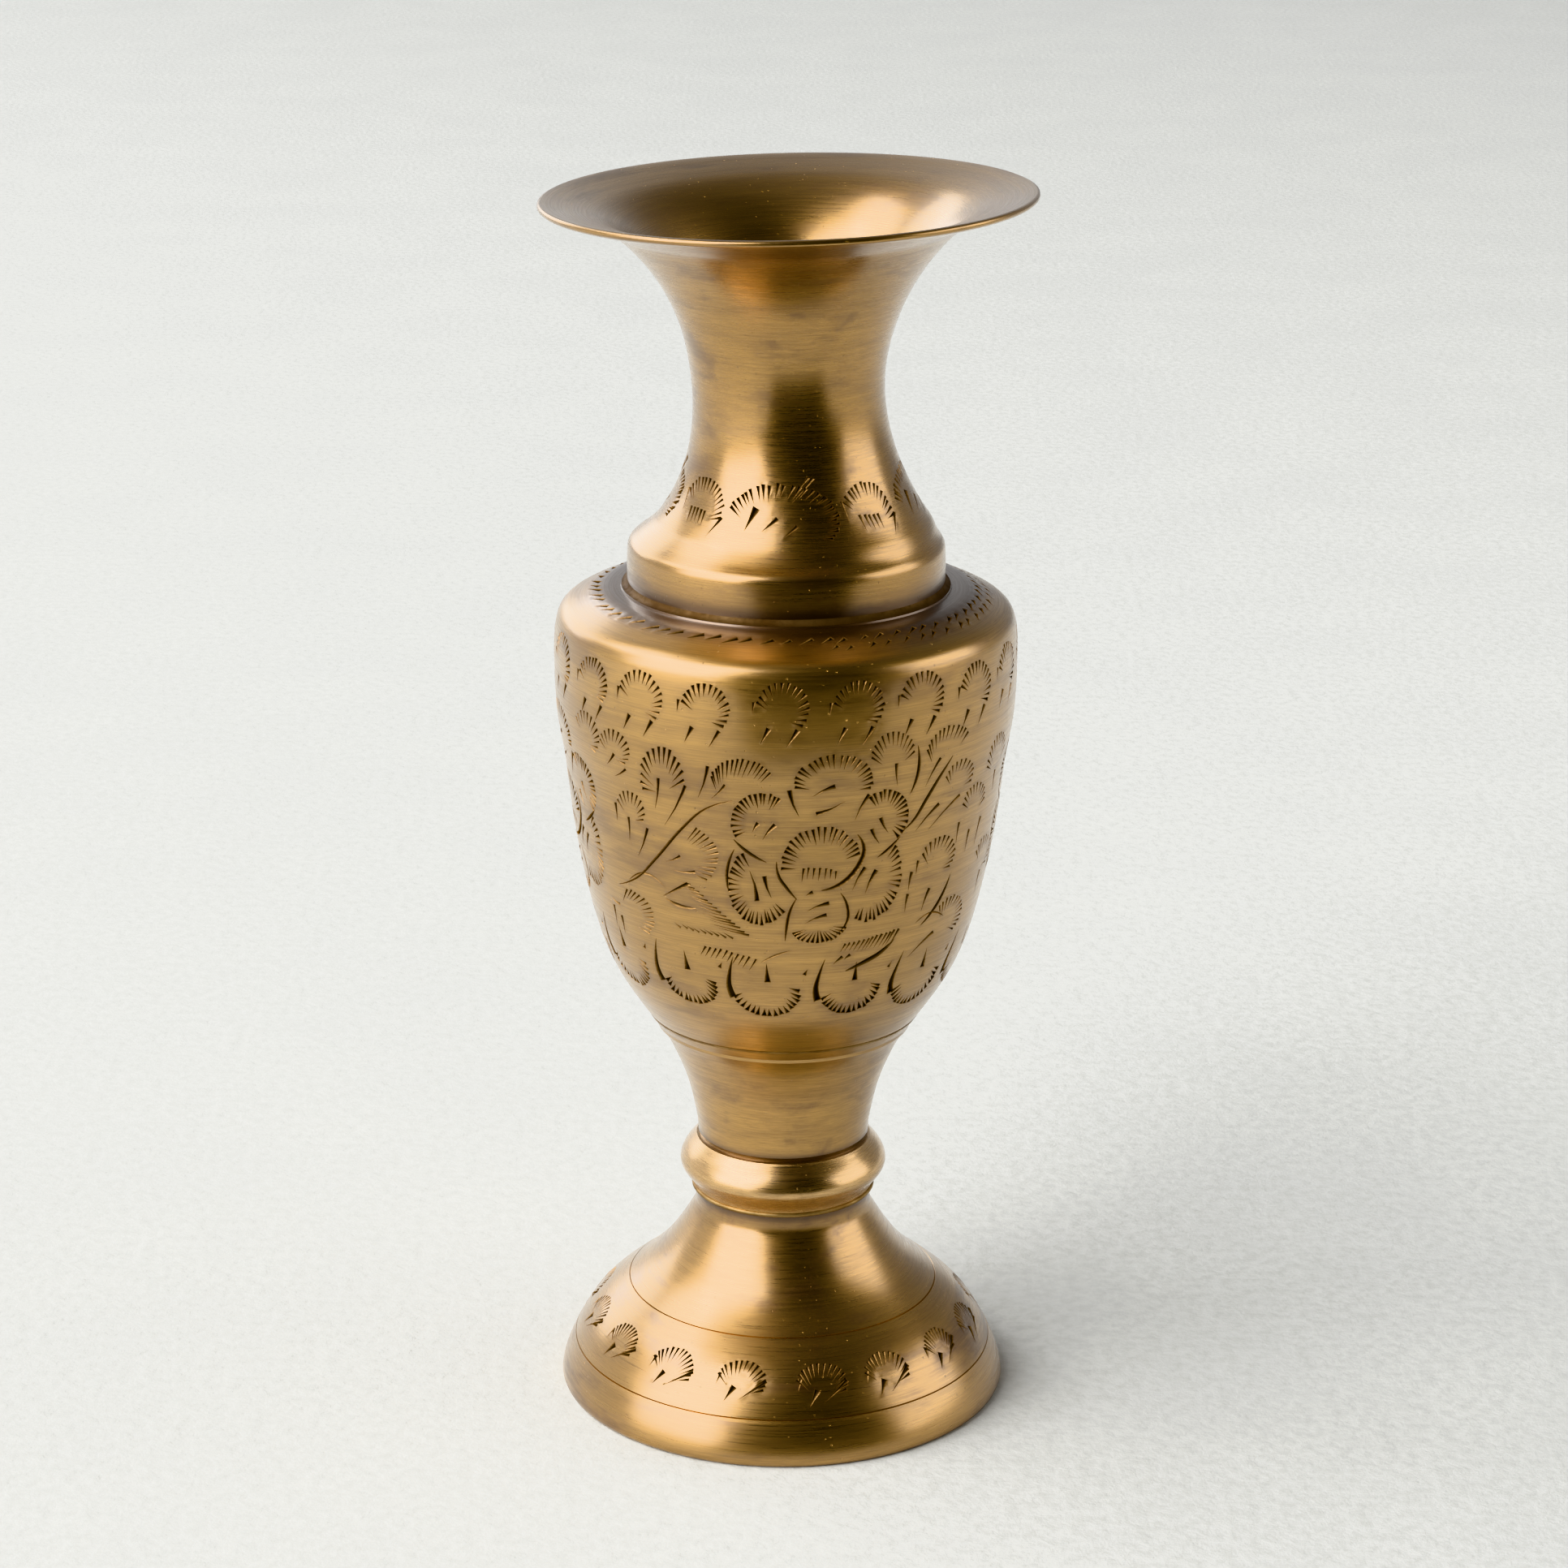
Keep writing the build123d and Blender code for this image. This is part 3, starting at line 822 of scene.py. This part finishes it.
def turned_piece(name, node, zones=(), step=0.5, corner_shade_at=lambda p: 0.0, bend=None):
    """A CAD node's outline spun again. Each zone is (low z, high z, least radius, engraver, pitch)."""
    outline = Outline(node, step)
    build = Build()
    for run in outline.runs:
        at = run["at"]
        rz, flat = outline.place(run, at)
        cuts = []
        for low, high, least, engrave, pitch in zones:
            inside = (rz[:, 1] >= low) & (rz[:, 1] <= high) & (rz[:, 0] >= least) & (flat[:, 0] > -0.2)
            inside &= (flat[:, 0] > 0) | (flat[:, 1] > 0)
            picked = np.flatnonzero(inside)
            if len(picked) > 3:
                cuts.append((picked[0], picked[-1], engrave, pitch))
        cuts.sort(key=lambda c: c[0])
        begin = 0
        for a, b, engrave, pitch in cuts:
            if a > begin:
                add_band(build, outline, run, at[begin : a + 1], corner_shade_at)
            skin = Skin(outline, run, float(at[a]), float(at[b]))
            engrave(skin)
            add_engraved(build, skin, pitch, corner_shade_at)
            begin = b
        if begin < len(at) - 1:
            add_band(build, outline, run, at[begin:], corner_shade_at)
    piece = placed(name, build.mesh(name, bend))
    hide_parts(node)
    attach(piece, "root")
    return piece


# ---- materials


class Nodes:
    """Adds and joins nodes in one tree. A value is a number, a colour or another node's output."""

    def __init__(self, tree):
        self.tree = tree

    def node(self, kind, **settings):
        made = self.tree.nodes.new(kind)
        for name, value in settings.items():
            setattr(made, name, value)
        return made

    def plug(self, value, socket):
        if isinstance(value, bpy.types.NodeSocket):
            self.tree.links.new(value, socket)
        else:
            socket.default_value = value

    def fed(self, kind, values, output=0, **settings):
        """A new node's output. Its inputs are given in order, or by name."""
        made = self.node(kind, **settings)
        for name in values if isinstance(values, dict) else range(len(values)):
            self.plug(values[name], made.inputs[name])
        return made.outputs[output]

    def plus(self, *values):
        return self.fed("ShaderNodeMath", values, operation="ADD")

    def times(self, *values):
        return self.fed("ShaderNodeMath", values, operation="MULTIPLY")

    def between(self, value, low, high, to_low=0.0, to_high=1.0):
        """A smooth ramp from one value to another."""
        values = (value, low, high, to_low, to_high)
        return self.fed("ShaderNodeMapRange", values, interpolation_type="SMOOTHSTEP")


class Shader(Nodes):
    """A material's nodes, round its Principled BSDF."""

    def __init__(self, name):
        self.material = bpy.data.materials.new(name)
        self.material.use_nodes = True
        super().__init__(self.material.node_tree)

    def give(self, name, value):
        """Sets or joins one input of the surface."""
        self.plug(value, self.tree.nodes["Principled BSDF"].inputs[name])

    def fact(self, name, output="Fac"):
        return self.node("ShaderNodeAttribute", attribute_name=name).outputs[output]

    def inside_object(self):
        return self.node("ShaderNodeTexCoord").outputs["Object"]

    def scaled(self, vector, scale):
        return self.fed("ShaderNodeMapping", {"Vector": vector, "Scale": scale})

    def noise(self, vector, scale, detail=3.0, roughness=0.5, distortion=0.0):
        kinds = {"Scale": scale, "Detail": detail, "Roughness": roughness, "Distortion": distortion}
        return self.fed("ShaderNodeTexNoise", {"Vector": vector, **kinds})

    def mix(self, share, first, second):
        values = {"Factor": share, "A": first, "B": second}
        return self.fed("ShaderNodeMix", values, "Result", data_type="RGBA")

    def bump(self, height, distance, strength=1.0, below=None):
        values = {"Height": height, "Distance": distance, "Strength": strength}
        if below:
            values["Normal"] = below
        return self.fed("ShaderNodeBump", values)


# the last colour is the black of the shade painted into the corners
BROWN, PURPLE, SHADE_BLACK = (0.27, 0.155, 0.058, 1), (0.2, 0.115, 0.055, 1), (0.08, 0.044, 0.024, 1)


def brass(name, tone, roughness, tarnish, streaks, brushing):
    """Brass brushed round its axis, darkened by age and, in its corners, by painted shade, under clear
    lacquer.

    Shells carry their own unrolled place ("round": sin, -cos, mm along the outline), so the brush marks run
    round the axis on every slope, and the darkening attribute holds the tarnish round the strokes and the
    painted shade in the corners."""
    s = Shader(name)
    place = s.fact("round", "Vector")
    band = s.noise(s.scaled(place, (0.8, 0.8, 0.5)), 1.0, 4, 0.6, 0.3)
    streak = s.noise(s.scaled(place, (2.2, 2.2, 3.6)), 1.0, 4, 0.7)
    hair = s.noise(s.scaled(place, (7.0, 7.0, 9.0)), 1.0, 3, 0.65)
    patch = s.noise(s.scaled(place, (1.5, 1.5, 0.075)), 1.0, 5, 0.58, 0.4)
    cloud = s.noise(s.scaled(place, (1.5, 1.5, 0.24)), 1.3, 4, 0.62)
    soot_and_shade = s.fact("soot_and_shade")

    worn = s.plus(s.between(streak, 0.36, 0.66, 0.0, 0.36), s.between(band, 0.35, 0.68, 0.0, 0.36))
    colour = s.mix(s.times(worn, streaks), tone, BROWN)
    colour = s.mix(s.between(hair, 0.4, 0.75, 0.0, 0.55), colour, BROWN)
    blotch = s.between(s.times(cloud, s.between(patch, 0.4, 0.75, 0.75, 1.25)), 0.43, 0.7)
    # tarnish, plus a share of the darkening: tarnish round the strokes and painted shade in the corners
    tarnish_and_corner_shade = s.plus(s.times(blotch, tarnish), s.times(soot_and_shade, 0.28))
    age_and_shade = s.fed("ShaderNodeMath", (tarnish_and_corner_shade, 1.0), operation="MINIMUM")
    colour = s.mix(age_and_shade, colour, PURPLE)
    # painted shade: where the corners' darkening runs high, the colour goes towards black
    s.give("Base Color", s.mix(s.between(soot_and_shade, 1.0, 3.4, 0.0, 0.7), colour, SHADE_BLACK))
    s.give("Metallic", 1.0)

    rough = s.plus(roughness, s.between(streak, 0.3, 0.7, -0.05, 0.07))
    s.give("Roughness", s.plus(rough, s.times(age_and_shade, 0.1)))
    s.give("Anisotropic", 0.3)
    s.give("Anisotropic Rotation", 0.25)
    s.give("Coat Weight", 1.0)
    s.give("Coat Roughness", 0.24)
    s.give("Coat IOR", 1.62)
    s.give("Tangent", s.node("ShaderNodeTangent", direction_type="RADIAL", axis="Z").outputs[0])

    pits = s.fed("ShaderNodeTexVoronoi", {"Vector": s.scaled(place, (24.0, 24.0, 0.7)), "Scale": 1.0})
    hole = s.between(pits, 0.05, 0.13, -1.0, 0.0)
    rare = s.between(s.noise(place, 5.0, 2), 0.5, 0.56)
    marks = s.bump(s.plus(streak, s.times(hair, 0.5)), brushing * MM)
    s.give("Normal", s.bump(s.times(hole, rare), 0.12 * MM, below=marks))
    return s.material


def graver_cut(name):
    """Inside of the cuts: never polished or lacquered, dark with patina, and darker towards the bottom as
    painted shade.
    """
    s = Shader(name)
    grain = s.noise(s.scaled(s.fact("round", "Vector"), (7.0, 7.0, 4.0)), 1.0, 4, 0.6)
    flank, bottom, grime = (0.32, 0.19, 0.078, 1), (0.035, 0.022, 0.012, 1), (0.045, 0.028, 0.014, 1)
    # painted shade: the deeper the cut, the darker, on top of the patina's dark colour
    colour = s.mix(s.between(s.fact("cut"), 0.0, 0.2), flank, bottom)
    s.give("Base Color", s.mix(s.between(grain, 0.4, 0.7, 0.0, 0.5), colour, grime))
    s.give("Metallic", 1.0)
    s.give("Roughness", s.between(grain, 0.3, 0.7, 0.46, 0.62))
    s.give("Specular Tint", (0.5, 0.36, 0.22, 1))
    s.give("Normal", s.bump(grain, 0.02 * MM))
    return s.material


def plain_brass(name, tone, roughness):
    """Brass with no brush marks, for solder and the pieces inside: mottled, with small pits."""
    s = Shader(name)
    place = s.inside_object()
    mottle = s.noise(place, 900.0, 4, 0.6)
    broad = s.noise(place, 160.0, 3, 0.6)
    redder = [c * share for c, share in zip(tone, (0.55, 0.48, 0.42, 1))]
    darker = [c * share for c, share in zip(tone, (0.6, 0.6, 0.6, 1))]
    colour = s.mix(s.between(broad, 0.35, 0.7), tone, redder)
    s.give("Base Color", s.mix(s.between(mottle, 0.5, 0.75, 0.0, 0.6), colour, darker))
    s.give("Metallic", 1.0)
    s.give("Roughness", s.between(mottle, 0.3, 0.75, roughness, roughness + 0.18))
    s.give("Normal", s.bump(mottle, 0.05 * MM))
    return s.material


def paper(name):
    """Pale floor with a faint tooth."""
    s = Shader(name)
    place = s.inside_object()
    fibre = s.noise(place, 420.0, 5, 0.65)
    broad = s.noise(place, 22.0, 4, 0.6)
    colour = s.mix(s.between(broad, 0.3, 0.7), (0.68, 0.69, 0.67, 1), (0.64, 0.65, 0.635, 1))
    s.give("Base Color", s.mix(s.between(fibre, 0.35, 0.7), colour, (0.58, 0.59, 0.57, 1)))
    s.give("Roughness", 0.9)
    s.give("Normal", s.bump(fibre, 0.35 * MM, 0.8))
    return s.material


# ---- the set


def floor(name, reach, front_reach, drop=0.0):
    """Pale sheet round the vase. Its front part, where the photographer stands, has a reach of its own."""
    spokes, rings = 96, 14
    middle, half_width, blend = (radians(degrees) for degrees in (12, 29, 26))
    points = [(0.0, 0.0, 0.0)]
    for n in range(spokes):
        turn = FULL_TURN * n / spokes
        off = abs((turn - middle + pi) % FULL_TURN - pi)
        length = front_reach + (reach - front_reach) * eased(off, half_width, half_width + blend)
        for k in range(1, rings + 1):
            out = length * (k / rings) ** 1.5
            points.append((out * sin(turn), -out * cos(turn), 0.0))
    faces = []
    for n in range(spokes):
        here, beside = 1 + n * rings, 1 + (n + 1) % spokes * rings
        faces.append((0, here, beside))
        faces += [(here + k, here + k + 1, beside + k + 1, beside + k) for k in range(rings - 1)]
    mesh = bpy.data.meshes.new(name)
    mesh.from_pydata(points, [], faces)
    mesh.materials.append(paper("paper"))
    ground = placed(name, mesh)
    ground.location.z = cad_low[2] - drop
    return ground


def soft_light(name, place, aim, size, power, colour):
    """Rectangular soft light at a place, facing another."""
    light = bpy.data.lights.new(name, "AREA")
    light.shape = "RECTANGLE"
    light.size, light.size_y = size
    light.energy, light.color = power, colour
    lamp = placed(name, light)
    lamp.location = place
    lamp.rotation_euler = (Vector(aim) - Vector(place)).to_track_quat("-Z", "Y").to_euler()


def room():
    """The room that the metal reflects: pale to the sides and behind, dark where the photographer stands.

    Seen directly, past the floor's edge, it is a plain pale wall."""
    world = bpy.data.worlds.new("room")
    bpy.context.scene.world = world
    world.use_nodes = True
    s = Nodes(world.node_tree)
    parts = s.node("ShaderNodeSeparateXYZ")
    s.plug(s.node("ShaderNodeTexCoord").outputs["Generated"], parts.inputs[0])
    behind = s.between(parts.outputs["Y"], -0.75, 0.35, 0.03, 1.0)
    overhead = s.between(parts.outputs["Z"], 0.25, 0.95, 1.0, 0.42)
    window_side = s.between(parts.outputs["X"], -0.4, 0.4, 0.88, 0.36)
    mirrored = s.tree.nodes["Background"]
    mirrored.inputs["Color"].default_value = (0.97, 0.985, 1.0, 1)
    s.plug(s.times(s.times(behind, overhead), window_side), mirrored.inputs["Strength"])
    wall = s.fed("ShaderNodeBackground", [(0.8, 0.81, 0.8, 1)])
    seen_directly = s.node("ShaderNodeLightPath").outputs["Is Camera Ray"]
    both = s.fed("ShaderNodeMixShader", (seen_directly, mirrored.outputs[0], wall))
    s.plug(both, s.tree.nodes["World Output"].inputs["Surface"])


def camera(height):
    """Long lens, a little above the mouth and looking down on the vase."""
    aside, away, above = 0.0009, 3.211, 1.5695  # in heights of the vase
    down, roll = 18.1, 0.318  # degrees
    lens = bpy.data.cameras.new("camera")
    lens.sensor_width, lens.lens, lens.clip_start = 36.0, 95.85, 0.01
    eye = placed("camera", lens)
    eye.location = (-aside * height, -away * height, above * height)
    looking = Matrix.Rotation(radians(90 - down), 3, "X") @ Matrix.Rotation(radians(roll), 3, "Z")
    eye.rotation_euler = looking.to_euler()
    bpy.context.scene.camera = eye


# ---- the vase


def dress(objects, *materials):
    """Materials go into the slots in order. Clearing the slots would reset which one each face has."""
    for item in objects:
        slots = item.data.materials
        for n, material in enumerate(materials):
            if n < len(slots):
                slots[n] = material
            else:
                slots.append(material)


def corner_shade(z, spread):
    """Darkening painted in as shade in a corner where two parts join, at one height."""
    return lambda p: 3.6 * exp(-(((p[1] - z) / spread) ** 2))


def top_of(node):
    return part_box(node)[1].z / MM


def neck_bend(z):
    """The neck was soldered on a little to the right of its collar, and its mouth leans to the left."""
    aside, lean = 1.1, radians(1.6)
    offset = aside * eased(z, 137.6, 141.5) * (1 - eased(z, 143, 167))
    return offset, lean * eased(z, 164, 187)


PITCH = 0.62  # mm between the plain points of an engraved skin
side = (66.5, 126.3, 20.0, engrave_bowl, PITCH)
shoulder = (128.2, 130.75, 25.6, engrave_shoulder, PITCH)
neck_foot = (139.2, 152.0, 13.0, engrave_neck, 0.6)
foot_side = (7.8, 16.0, 20.0, engrave_foot, PITCH)
# painted shade in the corners: under the collar at the neck's foot, at the bowl's top, the foot's top and on
# the stem above the ring
neck_shade = corner_shade(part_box("neck_solder")[0].z / MM, 3.0)

bowl = turned_piece("bowl_shell", "bowl", [side, shoulder], corner_shade_at=corner_shade(top_of("bowl"), 1.7))
neck = turned_piece("neck_shell", "neck", [neck_foot], corner_shade_at=neck_shade, bend=neck_bend)
foot = turned_piece("foot_shell", "foot", [foot_side], corner_shade_at=corner_shade(top_of("foot"), 1.5))
stem = turned_piece("stem_cup", "stem", corner_shade_at=corner_shade(top_of("ring"), 1.6))
ring = turned_piece("bead_ring", "ring", step=0.3)

cut = graver_cut("graver_cut")
dress([bowl, stem], brass("aged_brass", (0.545, 0.32, 0.095, 1), 0.32, 0.5, 0.9, 0.014), cut)
dress([neck], brass("neck_brass", (0.49, 0.28, 0.08, 1), 0.27, 0.6, 1.0, 0.012), cut)
dress([foot], brass("foot_brass", (0.48, 0.28, 0.088, 1), 0.3, 0.8, 0.9, 0.01), cut)
dress([ring], brass("polished_brass", (0.68, 0.43, 0.18, 1), 0.27, 0.35, 0.4, 0.01))
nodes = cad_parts
bright_runs = [nodes[place + "_solder"] for place in ("seam", "ring", "spigot", "floor")]
# painted shade: the solder in the corner under the collar is made dark to stand for the shade there
dress([nodes["neck_solder"]], plain_brass("painted_shade_solder", (0.13, 0.082, 0.042, 1), 0.55))
dress(bright_runs, plain_brass("solder", (0.38, 0.26, 0.12, 1), 0.42))
dress([nodes["floor_disc"]], plain_brass("inside_brass", (0.4, 0.29, 0.15, 1), 0.4))

floor("floor", 3.4, 0.3)
# closes the floor in front, but stays out of reflections
under_floor = floor("under_floor", 6.0, 6.0, drop=0.1 * MM)
under_floor.visible_glossy = False
room()
vase, behind_vase = (0, 0, 0.09), (0, 0.8, 0.0)
soft_light("window", (-2.6, -1.7, 2.1), vase, (3.2, 3.6), 252.0, (1.0, 0.985, 0.96))
soft_light("high_window", (-2.3, 0.6, 2.7), vase, (1.7, 1.5), 45.0, (1.0, 0.99, 0.97))
soft_light("back_window", (-2.6, 3.6, 1.7), behind_vase, (3.0, 2.0), 60.0, (0.98, 0.99, 1.0))
soft_light("right_fill", (2.8, -0.25, 1.1), vase, (2.4, 1.8), 31.0, (1.0, 0.98, 0.95))
camera(cad_high[2] - cad_low[2])

view = bpy.context.scene.view_settings
view.view_transform = "Khronos PBR Neutral"
view.look = "None"
